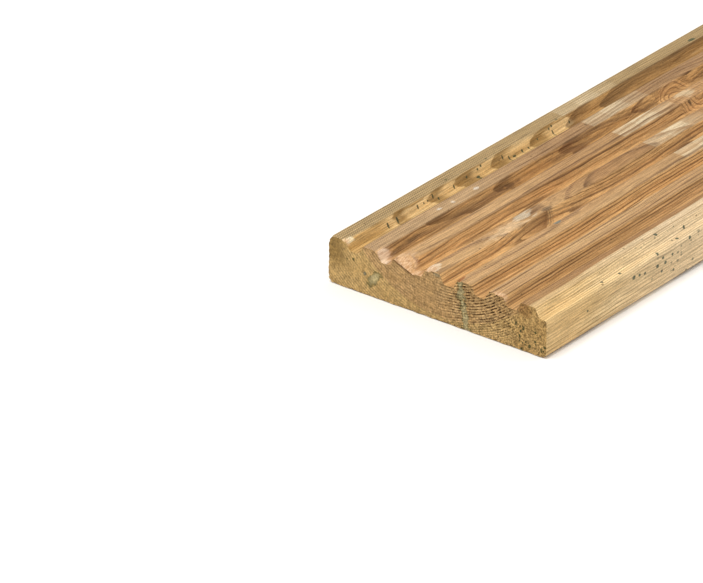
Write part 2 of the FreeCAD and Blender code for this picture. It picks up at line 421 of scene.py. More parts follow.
    winter = add_node(tree, "ShaderNodeMapRange", {"interpolation_type": "SMOOTHSTEP"},
                      {0: season, 1: 0.94, 2: 1.0, 3: 1.0, 4: 0.0})
    latewood = add_node(tree, "ShaderNodeMath", {"operation": "MULTIPLY"}, {0: summer, 1: winter})
    # The heartwood reaches seventy-two millimetres from the pith, a little more on the right, and further still
    # on the left past a hand's width.
    further = between(tree, place.outputs[1], -715.0, -170.0, 20.0)
    left = between(tree, place.outputs[0], -90.0, -42.0, 6.0)
    further = add_node(tree, "ShaderNodeMath", {"operation": "MULTIPLY"}, {0: further, 1: left})
    inside = add_node(tree, "ShaderNodeMath", {"operation": "MULTIPLY_ADD"}, {0: further, 1: 8.2, 2: 72.6})
    rightward = add_node(tree, "ShaderNodeMapRange", {}, {0: place.outputs[0], 1: 44.0, 2: 58.0, 3: 0.0, 4: 1.5})
    inside = add_node(tree, "ShaderNodeMath", {"operation": "ADD"}, {0: inside, 1: rightward})
    inside = add_node(tree, "ShaderNodeMath", {"operation": "SUBTRACT"}, {0: inside, 1: radius})
    heart = add_node(tree, "ShaderNodeMapRange", {"interpolation_type": "SMOOTHSTEP"},
                     {0: inside, 1: -0.35, 2: 0.35, 3: 0.0, 4: 1.0})
    fibre = add_node(tree, "ShaderNodeCombineXYZ", {}, {0: radius, 1: arc, 2: y})
    return {"ring": ring, "latewood": latewood, "weather": weather, "dark": dark, "heart": heart, "knot": knot,
            "rim": rim, "radius": radius, "arc": arc, "fibre": fibre, "x": place.outputs[0], "y": place.outputs[1],
            "z": place.outputs[2]}


def specks(tree, point, pitches, kept, size):
    """Scattered drops in a point's millimetres: the pitch between places each way, the share kept, and the size."""
    scaled = add_node(tree, "ShaderNodeVectorMath", {"operation": "MULTIPLY"},
                      {0: point, 1: [1 / pitch for pitch in pitches]})
    cell = add_node(tree, "ShaderNodeTexVoronoi", {}, {"Vector": scaled, "Scale": 1.0})
    chance = add_node(tree, "ShaderNodeSeparateXYZ", {}, {0: cell.outputs["Color"]})
    chosen = add_node(tree, "ShaderNodeMath", {"operation": "LESS_THAN"}, {0: chance.outputs[0], 1: kept})
    reach = add_node(tree, "ShaderNodeMapRange", {}, {0: chance.outputs[1], 3: 0.45 * size, 4: size})
    drop = add_node(tree, "ShaderNodeMath", {"operation": "SUBTRACT"}, {0: reach, 1: cell.outputs["Distance"]})
    drop = add_node(tree, "ShaderNodeMapRange", {}, {0: drop, 1: 0.0, 2: 0.08, 3: 0.0, 4: 1.0})
    return add_node(tree, "ShaderNodeMath", {"operation": "MULTIPLY"}, {0: drop, 1: chosen})


# Planed pine, brown in the heart and straw-coloured outside it: a dull sheen along the fibres, hard dark
# summer wood standing a hair proud of the soft wood, and faint cutter marks across.
planed = bpy.data.materials.new("planed_treated_pine")
planed.use_nodes = True
wood = planed.node_tree
wood.nodes.clear()
seat = add_node(wood, "ShaderNodeTexCoord", {}, {})
spot = add_node(wood, "ShaderNodeVectorMath", {"operation": "SCALE"}, {0: seat.outputs["Object"], "Scale": 1000.0})
growth = grow_wood(wood, spot)
x, y, z = growth["x"], growth["y"], growth["z"]

# Streaks of fibre that follow the growth, in four sizes in millimetres. Real fibres are a tenth as wide as the
# finest, which are as coarse as the render can show.
broad = stretched_noise(wood, growth["fibre"], (6, 9, 110), 2.0)
mid = stretched_noise(wood, growth["fibre"], (1.7, 2.4, 60), 2.0)
fine = stretched_noise(wood, growth["fibre"], (0.55, 0.62, 16), 1.0)
grit = stretched_noise(wood, spot, (0.7, 1.1, 0.7), 1.0)
broad = add_node(wood, "ShaderNodeMapRange", {}, {0: broad, 1: 0.32, 2: 0.68, 3: 0.0, 4: 1.0})

inner_tone = add_node(wood, "ShaderNodeMix", {"data_type": "RGBA"},
                      {0: broad, 6: linear("#bf8f57"), 7: linear("#d2a66c")})
outer_tone = add_node(wood, "ShaderNodeMix", {"data_type": "RGBA"},
                      {0: broad, 6: linear("#af8149"), 7: linear("#c59a62")})
outward = add_node(wood, "ShaderNodeMapRange", {"interpolation_type": "SMOOTHSTEP"},
                   {0: growth["radius"], 1: 57.0, 2: 65.0, 3: 0.0, 4: 1.0})
heart_tone = add_node(wood, "ShaderNodeMix", {"data_type": "RGBA"}, {0: outward, 6: inner_tone, 7: outer_tone})
last_years = add_node(wood, "ShaderNodeMapRange", {"interpolation_type": "SMOOTHSTEP"},
                      {0: growth["radius"], 1: 66.8, 2: 69.5, 3: 0.0, 4: 0.14})
heart_tone = add_node(wood, "ShaderNodeMix", {"data_type": "RGBA"}, {0: last_years, 6: heart_tone, 7: linear("#97703f")})
sap_tone = add_node(wood, "ShaderNodeMix", {"data_type": "RGBA"},
                    {0: broad, 6: linear("#dfbb80"), 7: linear("#eed09b")})
spring_tone = add_node(wood, "ShaderNodeMix", {"data_type": "RGBA"}, {0: growth["heart"], 6: sap_tone, 7: heart_tone})
summer_tone = add_node(wood, "ShaderNodeMix", {"data_type": "RGBA"},
                       {0: growth["heart"], 6: linear("#8f6c35"), 7: linear("#6a4520")})
even = add_node(wood, "ShaderNodeMapRange", {}, {0: growth["heart"], 3: 0.62, 4: 0.30})
strong = add_node(wood, "ShaderNodeMath", {"operation": "MULTIPLY_ADD"}, {0: growth["weather"], 1: 0.6, 2: even})
patchy = add_node(wood, "ShaderNodeMapRange", {}, {0: mid, 1: 0.3, 2: 0.7, 3: 0.5, 4: 1.3})
strong = add_node(wood, "ShaderNodeMath", {"operation": "MULTIPLY"}, {0: strong, 1: patchy})
strong = add_node(wood, "ShaderNodeMath", {"operation": "MULTIPLY_ADD"}, {0: growth["knot"], 1: 0.46, 2: strong})
firmer = add_node(wood, "ShaderNodeMapRange", {}, {0: y, 1: -800.0, 2: -720.0, 3: 0.0, 4: 0.35})
firm_part = between(wood, x, 6.0, 60.0, 5.0)
firmer = add_node(wood, "ShaderNodeMath", {"operation": "MULTIPLY_ADD"}, {0: firmer, 1: firm_part, 2: 1.0})
strong = add_node(wood, "ShaderNodeMath", {"operation": "MULTIPLY"}, {0: strong, 1: firmer})
on_top = add_node(wood, "ShaderNodeMapRange", {}, {0: z, 1: 27.3, 2: 27.75, 3: 0.0, 4: 1.0})
worn = add_node(wood, "ShaderNodeMapRange", {}, {0: x, 1: -12.0, 2: -34.0, 3: 0.0, 4: -0.62})
worn_near = add_node(wood, "ShaderNodeMapRange", {}, {0: y, 1: -800.0, 2: -745.0, 3: 1.0, 4: 0.2})
worn = add_node(wood, "ShaderNodeMath", {"operation": "MULTIPLY"}, {0: worn, 1: worn_near})
worn = add_node(wood, "ShaderNodeMath", {"operation": "MULTIPLY_ADD"}, {0: worn, 1: on_top, 2: 1.0})
strong = add_node(wood, "ShaderNodeMath", {"operation": "MULTIPLY"}, {0: strong, 1: worn})
cutter = add_node(wood, "ShaderNodeMath", {"operation": "MULTIPLY"}, {0: y, 1: 2 * math.pi / 2.1})
cutter = add_node(wood, "ShaderNodeMath", {"operation": "SINE"}, {0: cutter})
stitch = add_node(wood, "ShaderNodeMath", {"operation": "MULTIPLY"}, {0: cutter, 1: on_top})
stitch = add_node(wood, "ShaderNodeMath", {"operation": "MULTIPLY_ADD"}, {0: stitch, 1: 0.36, 2: 1.0})
strong = add_node(wood, "ShaderNodeMath", {"operation": "MULTIPLY"}, {0: strong, 1: stitch})
summer_share = add_node(wood, "ShaderNodeMath", {"operation": "MULTIPLY", "use_clamp": True},
                        {0: growth["latewood"], 1: strong})
tone = add_node(wood, "ShaderNodeMix", {"data_type": "RGBA"}, {0: summer_share, 6: spring_tone, 7: summer_tone})

# The first groove starts golden brown at the sawn end, and the right side is in a little shade.
golden = add_node(wood, "ShaderNodeMapRange", {}, {0: y, 1: -872.0, 2: -860.0, 3: 0.72, 4: 0.28})
first_groove = between(wood, x, -61.0, -53.0, 0.6)
golden = add_node(wood, "ShaderNodeMath", {"operation": "MULTIPLY"}, {0: golden, 1: first_groove})
tone = add_node(wood, "ShaderNodeMix", {"data_type": "RGBA"}, {0: golden, 6: tone, 7: linear("#ac8343")})
straw = add_node(wood, "ShaderNodeMapRange", {}, {0: y, 1: -880.0, 2: -848.0, 3: 0.5, 4: 0.0})
right_part = between(wood, x, 57.0, 90.0, 2.0)
straw = add_node(wood, "ShaderNodeMath", {"operation": "MULTIPLY"}, {0: straw, 1: right_part})
tone = add_node(wood, "ShaderNodeMix", {"data_type": "RGBA"}, {0: straw, 6: tone, 7: linear("#d8b072")})
shaded = add_node(wood, "ShaderNodeMapRange", {}, {0: x, 1: 71.6, 2: 72.4, 3: 0.0, 4: 0.22})
tone = add_node(wood, "ShaderNodeMix", {"data_type": "RGBA"}, {0: shaded, 6: tone, 7: linear("#a98b5e")})

# The ridges' tops are rubbed greyer than the flanks, most of all the two on the left; the same darker tone on the tops
# is also painted shade.
on_left = add_node(wood, "ShaderNodeMapRange", {}, {0: x, 1: -30.0, 2: -36.0, 3: 0.36, 4: 0.62})
rubbed_and_painted_shade = add_node(wood, "ShaderNodeMath", {"operation": "MULTIPLY"}, {0: on_top, 1: on_left})
tone = add_node(wood, "ShaderNodeMix", {"data_type": "RGBA"}, {0: rubbed_and_painted_shade, 6: tone, 7: linear("#a98e6d")})
dull = add_node(wood, "ShaderNodeMapRange", {}, {0: x, 1: -57.0, 2: -60.0, 3: 0.0, 4: 0.84})
dull = add_node(wood, "ShaderNodeMath", {"operation": "MULTIPLY"}, {0: dull, 1: on_top})
tone = add_node(wood, "ShaderNodeMix", {"data_type": "RGBA"}, {0: dull, 6: tone, 7: linear("#9b8054")})
# Further along, the heartwood is browner, on the ridges most.
browner = add_node(wood, "ShaderNodeMapRange", {}, {0: y, 1: -810.0, 2: -750.0, 3: 0.0, 4: 1.0})
ridges = between(wood, x, -54.0, 8.0, 4.0)
ridges = add_node(wood, "ShaderNodeMath", {"operation": "MULTIPLY"}, {0: ridges, 1: on_top})
ridges = add_node(wood, "ShaderNodeMath", {"operation": "MULTIPLY"}, {0: ridges, 1: 2.2})
hollows = between(wood, x, -20.0, 18.0, 6.0)
hollows = add_node(wood, "ShaderNodeMath", {"operation": "MAXIMUM"}, {0: ridges, 1: hollows})
browner = add_node(wood, "ShaderNodeMath", {"operation": "MULTIPLY"}, {0: browner, 1: hollows})
browner = add_node(wood, "ShaderNodeMath", {"operation": "MULTIPLY"}, {0: browner, 1: 0.22})
right_ridges = between(wood, x, -9.0, 24.0, 3.0)
right_ridges = add_node(wood, "ShaderNodeMath", {"operation": "MULTIPLY"}, {0: right_ridges, 1: on_top})
browner = add_node(wood, "ShaderNodeMath", {"operation": "MULTIPLY_ADD"}, {0: right_ridges, 1: 0.15, 2: browner})
last_ridge = between(wood, x, 53.0, 67.0, 1.0)
last_ridge = add_node(wood, "ShaderNodeMath", {"operation": "MULTIPLY"}, {0: last_ridge, 1: growth["heart"]})
browner = add_node(wood, "ShaderNodeMath", {"operation": "MULTIPLY_ADD"}, {0: last_ridge, 1: 0.56, 2: browner})
tone = add_node(wood, "ShaderNodeMix", {"data_type": "RGBA"}, {0: browner, 6: tone, 7: linear("#8a5f33")})
lighter = add_node(wood, "ShaderNodeMapRange", {}, {0: y, 1: -800.0, 2: -730.0, 3: 0.16, 4: 0.5})
sixth_groove = between(wood, x, 44.0, 54.0, 1.0)
lighter = add_node(wood, "ShaderNodeMath", {"operation": "MULTIPLY"}, {0: lighter, 1: sixth_groove})
tone = add_node(wood, "ShaderNodeMix", {"data_type": "RGBA"}, {0: lighter, 6: tone, 7: linear("#cda371")})
# A feed roller bruised a short stretch of the tops pale, in steps.
bruise = between(wood, y, -706.0, -655.0, 0.5)
deeper = between(wood, y, -689.0, -671.0, 0.4)
bruise = add_node(wood, "ShaderNodeMath", {"operation": "MULTIPLY_ADD"}, {0: deeper, 1: 0.5, 2: bruise})
soft_part = add_node(wood, "ShaderNodeMapRange", {}, {0: growth["latewood"], 3: 0.72, 4: 0.22})
reached = between(wood, x, -67.0, 25.0, 6.0)
reached = add_node(wood, "ShaderNodeMapRange", {}, {0: reached, 3: 0.34, 4: 0.8})
fading = add_node(wood, "ShaderNodeMapRange", {}, {0: y, 1: -680.0, 2: -655.0, 3: 1.0, 4: 0.35})
for limit in (on_top, patchy, soft_part, reached, fading):
    bruise = add_node(wood, "ShaderNodeMath", {"operation": "MULTIPLY"}, {0: bruise, 1: limit})
tone = add_node(wood, "ShaderNodeMix", {"data_type": "RGBA"}, {0: bruise, 6: tone, 7: linear("#d3bd98")})
# The sapwood further along on the right is paler.
paler = add_node(wood, "ShaderNodeMapRange", {}, {0: y, 1: -860.0, 2: -780.0, 3: 0.0, 4: 0.5})
sapwood = add_node(wood, "ShaderNodeMath", {"operation": "SUBTRACT"}, {0: 1.0, 1: growth["heart"]})
for limit in (sapwood, right_part):
    paler = add_node(wood, "ShaderNodeMath", {"operation": "MULTIPLY"}, {0: paler, 1: limit})
tone = add_node(wood, "ShaderNodeMix", {"data_type": "RGBA"}, {0: paler, 6: tone, 7: linear("#dfc7a5")})

# Brown tongues of the preservative on the flanks of the first and second grooves: sharp fronts that bend round,
# towards the near end, and a tail that fades away from it. Each has its front, the height of its tip on the
# flank from -1 to 1, how far its sides lag, and where its tail starts and ends.
height = add_node(wood, "ShaderNodeMapRange", {"clamp": False}, {0: z, 1: 22.5, 2: 28.0, 3: -1.0, 4: 1.0})
wavy = stretched_noise(wood, spot, (3, 14, 3), 2.0)
wavy = add_node(wood, "ShaderNodeMath", {"operation": "SUBTRACT"}, {0: wavy, 1: 0.5})
along_flank = add_node(wood, "ShaderNodeMath", {"operation": "MULTIPLY_ADD"}, {0: wavy, 1: 9.0, 2: y})
far_tongues = [(-604.0 + 47 * k + 13 * math.sin(2.4 * k), -0.9, 4.2, 16.0 + 9 * math.cos(1.7 * k), 44.0) for k in range(1, 12)]
for left_edge, right_edge, code, share, tongues in (
        (-61.2, -54.0, "#86642f", 0.8, ((-862.0, -0.1, 3.0, 7.0, 14.0), (-831.0, -0.2, 6.0, 6.0, 15.0),
                                        (-807.0, -0.1, 7.0, 10.0, 21.0), (-776.0, -0.4, 5.0, 9.0, 21.0),
                                        (-740.0, -0.5, 5.5, 10.0, 19.0))),
        (-61.2, -54.0, "#5e411d", 0.7, [(-708.0, -1.0, 4.2, 5.0, 24.0), (-675.0, -1.0, 4.2, 118.0, 150.0)] + far_tongues),
        (-40.2, -32.0, "#583813", 0.7, ((-858.0, 0.8, 9.0, 7.0, 26.0), (-799.6, 0.0, 10.0, 8.0, 20.0))),
        (-40.2, -32.0, "#5e350e", 0.66, [(-740.5, 0.0, 7.0, 9.0, 20.0), (-673.8, -0.2, 9.0, 4.0, 12.0),
                                         (-648.0, 0.0, 12.0, 2.0, 12.0)]
         + [(front + 21.0, tip + 0.8, 9.0, solid, end) for front, tip, _, solid, end in far_tongues])):
    tongue = 0.0
    for front, tip, lag, solid, end in tongues:
        off_tip = add_node(wood, "ShaderNodeMath", {"operation": "SUBTRACT"}, {0: height, 1: tip})
        bent = add_node(wood, "ShaderNodeMath", {"operation": "MULTIPLY"}, {0: off_tip, 1: off_tip})
        behind = add_node(wood, "ShaderNodeMath", {"operation": "MULTIPLY_ADD"}, {0: bent, 1: -lag, 2: along_flank})
        rise = add_node(wood, "ShaderNodeMapRange", {}, {0: behind, 1: front, 2: front + 1.6, 3: 0.0, 4: 1.0})
        tail = add_node(wood, "ShaderNodeMapRange", {"interpolation_type": "SMOOTHSTEP"},
                        {0: behind, 1: front + solid, 2: front + end, 3: 1.0, 4: 0.0})
        lobe = add_node(wood, "ShaderNodeMath", {"operation": "MULTIPLY"}, {0: rise, 1: tail})
        tongue = add_node(wood, "ShaderNodeMath", {"operation": "MAXIMUM"}, {0: tongue, 1: lobe})
    inside = between(wood, x, left_edge, right_edge, 0.4)
    streaky = add_node(wood, "ShaderNodeMapRange", {}, {0: mid, 1: 0.3, 2: 0.7, 3: 0.72 * share, 4: 1.15 * share})
    upper_half = add_node(wood, "ShaderNodeMapRange", {}, {0: height, 1: -0.6, 2: 0.5, 3: 0.5, 4: 1.0})
    spread_out = add_node(wood, "ShaderNodeMapRange", {}, {0: y, 1: -668.0, 2: -650.0, 3: 0.0, 4: 1.0})
    upper_half = add_node(wood, "ShaderNodeMix", {"data_type": "FLOAT"}, {0: spread_out, 2: 1.0, 3: upper_half})
    for limit in (inside, streaky, upper_half):
        tongue = add_node(wood, "ShaderNodeMath", {"operation": "MULTIPLY"}, {0: tongue, 1: limit})
    tone = add_node(wood, "ShaderNodeMix", {"data_type": "RGBA"}, {0: tongue, 6: tone, 7: linear(code)})

# The hard years, darkest in the heart.
year_tone = add_node(wood, "ShaderNodeMix", {"data_type": "RGBA"},
                     {0: growth["heart"], 6: linear("#86683a"), 7: linear("#5d3d1d")})
year_share = add_node(wood, "ShaderNodeMath", {"operation": "MULTIPLY"}, {0: growth["dark"], 1: patchy})
year_share = add_node(wood, "ShaderNodeMath", {"operation": "MULTIPLY"}, {0: year_share, 1: worn})
year_share = add_node(wood, "ShaderNodeMath", {"operation": "MULTIPLY", "use_clamp": True}, {0: year_share, 1: 0.66})
tone = add_node(wood, "ShaderNodeMix", {"data_type": "RGBA"}, {0: year_share, 6: tone, 7: year_tone})

# Branch wood, darker and redder, in a thin dark bark line.
branch_share = add_node(wood, "ShaderNodeMath", {"operation": "MULTIPLY"}, {0: growth["knot"], 1: 0.25})
tone = add_node(wood, "ShaderNodeMix", {"data_type": "RGBA"}, {0: branch_share, 6: tone, 7: linear("#cb9c68")})
rim_share = add_node(wood, "ShaderNodeMath", {"operation": "MULTIPLY"}, {0: growth["rim"], 1: mid})
rim_share = add_node(wood, "ShaderNodeMath", {"operation": "MULTIPLY"}, {0: rim_share, 1: 0.35})
tone = add_node(wood, "ShaderNodeMix", {"data_type": "RGBA"}, {0: rim_share, 6: tone, 7: linear("#5f3f20")})

# The fold by the fourth ridge, where a lost branch pushed the rings into tight arcs that end at a crease.
curl = add_node(wood, "ShaderNodeVectorMath", {"operation": "SUBTRACT"}, {0: spot, 1: (-1.7, -814.0, 28.0)})
curl = add_node(wood, "ShaderNodeVectorMath", {"operation": "MULTIPLY"}, {0: curl, 1: (1.0, 0.9, 0.3)})
curl_place = add_node(wood, "ShaderNodeSeparateXYZ", {}, {0: curl})
curl = add_node(wood, "ShaderNodeVectorMath", {"operation": "LENGTH"}, {0: curl})
curl = add_node(wood, "ShaderNodeMath", {"operation": "MULTIPLY_ADD"}, {0: mid, 1: 1.6, 2: curl})
stripe = add_node(wood, "ShaderNodeMath", {"operation": "MULTIPLY"}, {0: curl, 1: 2 * math.pi / 1.5})
stripe = add_node(wood, "ShaderNodeMath", {"operation": "SINE"}, {0: stripe})
stripe = add_node(wood, "ShaderNodeMapRange", {}, {0: stripe, 1: -0.6, 2: 0.8, 3: 0.25, 4: 1.0})
onward = add_node(wood, "ShaderNodeMapRange", {}, {0: curl_place.outputs[1], 1: -1.0, 2: 3.0, 3: 0.0, 4: 1.0})
upward = add_node(wood, "ShaderNodeMapRange", {}, {0: curl_place.outputs[0], 1: -5.5, 2: -3.0, 3: 0.0, 4: 1.0})
arcs = between(wood, curl, 7.4, 12.4, 1.2)
for limit in (stripe, onward, upward):
    arcs = add_node(wood, "ShaderNodeMath", {"operation": "MULTIPLY"}, {0: arcs, 1: limit})
arcs = add_node(wood, "ShaderNodeMath", {"operation": "MULTIPLY"}, {0: arcs, 1: 0.62})
tone = add_node(wood, "ShaderNodeMix", {"data_type": "RGBA"}, {0: arcs, 6: tone, 7: linear("#6d5236")})
crease = add_node(wood, "ShaderNodeMath", {"operation": "MULTIPLY_ADD"}, {0: x, 1: 1.3, 2: y})
crease = add_node(wood, "ShaderNodeMath", {"operation": "MULTIPLY_ADD"}, {0: mid, 1: 3.0, 2: crease})
before = add_node(wood, "ShaderNodeMapRange", {}, {0: crease, 1: -830.0, 2: -802.0, 3: 0.0, 4: 0.78})
after = add_node(wood, "ShaderNodeMapRange", {}, {0: crease, 1: -801.5, 2: -800.5, 3: 1.0, 4: 0.0})
folded = between(wood, x, 1.2, 8.5, 1.0)
for limit in (after, folded):
    before = add_node(wood, "ShaderNodeMath", {"operation": "MULTIPLY"}, {0: before, 1: limit})
tone = add_node(wood, "ShaderNodeMix", {"data_type": "RGBA"}, {0: before, 6: tone, 7: linear("#7a5229")})

# Marks that the board has picked up: place, reach across, along and up, colour and strength.
wander = stretched_noise(wood, spot, (2.5, 8, 2.5), 3.0)
wander = add_node(wood, "ShaderNodeMath", {"operation": "SUBTRACT"}, {0: wander, 1: 0.5})
marks = (((-4.5, -818.0, 28.0), (4.0, 7.0, 3.0), "#d0c2a8", 0.58),
         ((-1.5, -836.0, 28.0), (3.6, 16.0, 3.0), "#dcbc92", 0.5),
         ((-36.0, -766.0, 24.0), (5.0, 19.0, 6.0), "#c28f52", 0.42),
         ((0.5, -803.5, 27.5), (1.4, 4.0, 3.0), "#5a4630", 0.6),
         ((13.9, -813.0, 28.0), (1.5, 2.6, 2.4), "#69766f", 0.8),
         ((-25.8, -641.0, 28.0), (4.0, 7.0, 5.0), "#dcc8a2", 0.5),
         ((-18.4, -646.0, 25.5), (0.9, 1.3, 1.6), "#43301a", 0.75),
         ((-18.8, -660.0, 26.5), (0.8, 11.0, 2.0), "#6b4a26", 0.6),
         ((-63.3, -808.8, 28.0), (0.7, 1.3, 1.0), "#5a5428", 0.8),
         ((-62.1, -775.0, 28.0), (0.7, 1.0, 1.0), "#4c4a26", 0.8),
         ((-61.5, -711.8, 28.0), (0.7, 1.0, 1.0), "#4c4a26", 0.8),
         ((-63.0, -582.1, 28.0), (1.2, 2.4, 1.0), "#3f4a2c", 0.85),
         ((-44.5, -839.0, 28.0), (1.3, 2.0, 1.0), "#ddd0bc", 0.65),
         ((-44.0, -828.0, 28.0), (1.1, 1.7, 1.0), "#ddd0bc", 0.55),
         ((-44.5, -807.0, 28.0), (1.4, 1.9, 1.0), "#ddd0bc", 0.65),
         ((14.2, -896.5, 27.0), (1.6, 3.0, 2.0), "#8a4d1e", 0.8),
         ((-5.0, -896.0, 28.0), (3.4, 5.0, 2.0), "#e0cfb2", 0.7),
         ((-38.2, -895.5, 25.0), (3.0, 5.6, 4.0), "#f3dfc4", 0.85),
         ((-35.6, -898.6, 22.4), (2.6, 3.4, 1.6), "#f1e2c8", 0.85),
         ((-60.3, -896.5, 27.3), (2.2, 3.6, 1.8), "#eddcb4", 0.85),
         ((-37.8, -873.0, 24.8), (1.2, 10.0, 1.2), "#5d4326", 0.5),
         ((-23.5, -900.0, 26.0), (7.5, 1.1, 3.0), "#6b4424", 0.75),
         ((-18.5, -892.0, 25.0), (1.6, 3.0, 1.6), "#7a4a24", 0.6))
for middle, reach, code, share in marks:
    away = add_node(wood, "ShaderNodeVectorMath", {"operation": "SUBTRACT"}, {0: spot, 1: middle})
    away = add_node(wood, "ShaderNodeVectorMath", {"operation": "DIVIDE"}, {0: away, 1: reach})
    away = add_node(wood, "ShaderNodeVectorMath", {"operation": "LENGTH"}, {0: away})
    away = add_node(wood, "ShaderNodeMath", {"operation": "MULTIPLY_ADD"}, {0: wander, 1: 2.6, 2: away})
    mark = add_node(wood, "ShaderNodeMapRange", {"interpolation_type": "SMOOTHSTEP"},
                    {0: away, 1: 1.3, 2: 0.6, 3: 0.0, 4: share})
    tone = add_node(wood, "ShaderNodeMix", {"data_type": "RGBA"}, {0: mark, 6: tone, 7: linear(code)})

# Drops of the green preservative, by shape: reach across, along and up, then the places and the size of each.
# Ticks run down the first groove's flank, with beads beside them, and beads and smears lie on the right side.
drips = (((5.0, 0.6, 1.2), ((-58.5, -865.6, 23.9, 1.3), (-58.5, -857.5, 24.0, 1.4), (-58.5, -839.2, 24.7, 1.0),
                            (-58.5, -825.4, 25.6, 1.0), (-58.5, -807.3, 24.3, 1.0), (-58.5, -758.6, 23.2, 1.0),
                            (-58.5, -763.3, 25.1, 1.0), (-58.5, -718.7, 23.3, 1.0))),
         ((5.0, 0.7, 0.7), ((-58.5, -833.7, 24.7, 0.8), (-58.5, -830.3, 24.8, 0.8), (-58.5, -821.8, 23.1, 1.0),
                            (-58.5, -795.5, 25.2, 1.0), (-58.5, -785.2, 25.9, 1.1), (-58.5, -781.9, 26.7, 1.1),
                            (-58.5, -747.0, 23.0, 1.1), (-58.5, -741.4, 22.8, 0.8), (-58.5, -732.2, 24.2, 0.8),
                            (-58.5, -720.7, 25.7, 1.0), (-58.5, -718.0, 26.4, 1.1), (-58.5, -703.2, 23.7, 0.9))),
         ((5.0, 1.6, 0.5), ((-58.5, -786.7, 22.7, 1.0), (-58.5, -754.3, 22.7, 0.9))),
         ((3.0, 1.2, 1.0), ((72.5, -863.5, 13.7, 0.7), (72.5, -822.6, 16.8, 1.2), (72.5, -817.4, 16.4, 0.9),
                            (72.5, -812.5, 15.4, 0.8), (72.5, -800.8, 22.0, 0.9), (72.5, -801.3, 15.0, 1.1),
                            (72.5, -796.2, 18.2, 0.9), (72.5, -794.0, 14.6, 1.0), (72.5, -797.3, 10.5, 0.8),
                            (72.5, -787.6, 16.9, 0.8), (72.5, -786.4, 7.3, 0.8), (72.5, -772.0, 20.5, 1.0))),
         ((1.6, 2.0, 3.0), ((66.5, -769.5, 24.0, 0.5), (69.5, -780.0, 22.5, 0.6), (70.0, -832.0, 22.5, 0.5),
                            (68.5, -846.0, 22.5, 0.5), (64.0, -792.0, 28.0, 0.6))))
ticks = 0.0
for reach, places in drips:
    scaled = add_node(wood, "ShaderNodeVectorMath", {"operation": "DIVIDE"}, {0: spot, 1: reach})
    scaled = add_node(wood, "ShaderNodeVectorMath", {"operation": "ADD"}, {0: scaled, 1: wavy})
    for across, along, high, size in places:
        centre = (across / reach[0], along / reach[1], high / reach[2])
        apart = add_node(wood, "ShaderNodeVectorMath", {"operation": "DISTANCE"}, {0: scaled, 1: centre})
        tick = add_node(wood, "ShaderNodeMapRange", {}, {0: apart, 1: 1.15 * size, 2: 0.8 * size, 3: 0.0, 4: 1.0})
        ticks = add_node(wood, "ShaderNodeMath", {"operation": "MAXIMUM"}, {0: ticks, 1: tick})

# Drops of it in clouds on the sapwood to the right, and fine dots of dirt.
on_right = between(wood, x, 57.0, 90.0, 1.0)
past = add_node(wood, "ShaderNodeMapRange", {}, {0: y, 1: -840.0, 2: -760.0, 3: 0.0, 4: 1.0})
clouds = add_node(wood, "ShaderNodeTexNoise", {}, {"Vector": spot, "Scale": 1 / 24, "Detail": 1.0})
clouds = add_node(wood, "ShaderNodeMapRange", {}, {0: clouds, 1: 0.42, 2: 0.54, 3: 0.0, 4: 1.0})
dots = specks(wood, spot, (3.4, 4.6, 3.4), 0.42, 0.3)
for limit in (on_right, past, clouds):
    dots = add_node(wood, "ShaderNodeMath", {"operation": "MULTIPLY"}, {0: dots, 1: limit})
drops = add_node(wood, "ShaderNodeMath", {"operation": "MAXIMUM"}, {0: ticks, 1: dots})
drops = add_node(wood, "ShaderNodeMath", {"operation": "MULTIPLY"}, {0: drops, 1: 0.85})
green = add_node(wood, "ShaderNodeMix", {"data_type": "RGBA"}, {0: mid, 6: linear("#11170c"), 7: linear("#2c4628")})
green = add_node(wood, "ShaderNodeMix", {"data_type": "RGBA"}, {0: on_right, 6: green, 7: linear("#1f4031")})
tone = add_node(wood, "ShaderNodeMix", {"data_type": "RGBA"}, {0: drops, 6: tone, 7: green})
dirt = specks(wood, spot, (5.0, 7.0, 5.0), 0.22, 0.18)
dirt = add_node(wood, "ShaderNodeMath", {"operation": "MULTIPLY"}, {0: dirt, 1: 0.7})
tone = add_node(wood, "ShaderNodeMix", {"data_type": "RGBA"}, {0: dirt, 6: tone, 7: linear("#5b4424")})

# Torn fibre, pale and pinkish where the saw ripped it.
torn_here = add_node(wood, "ShaderNodeAttribute", {"attribute_name": "torn"}, {})
strands = stretched_noise(wood, spot, (0.8, 6.0, 0.8), 2.0)
strands = add_node(wood, "ShaderNodeMapRange", {}, {0: strands, 1: 0.35, 2: 0.65, 3: 0.0, 4: 1.0})
torn_tone = add_node(wood, "ShaderNodeMix", {"data_type": "RGBA"}, {0: strands, 6: linear("#b18157"), 7: linear("#e2bf98")})
torn_share_here = add_node(wood, "ShaderNodeMath", {"operation": "MULTIPLY"}, {0: torn_here.outputs["Fac"], 1: 0.68})
tone = add_node(wood, "ShaderNodeMix", {"data_type": "RGBA"}, {0: torn_share_here, 6: tone, 7: torn_tone})

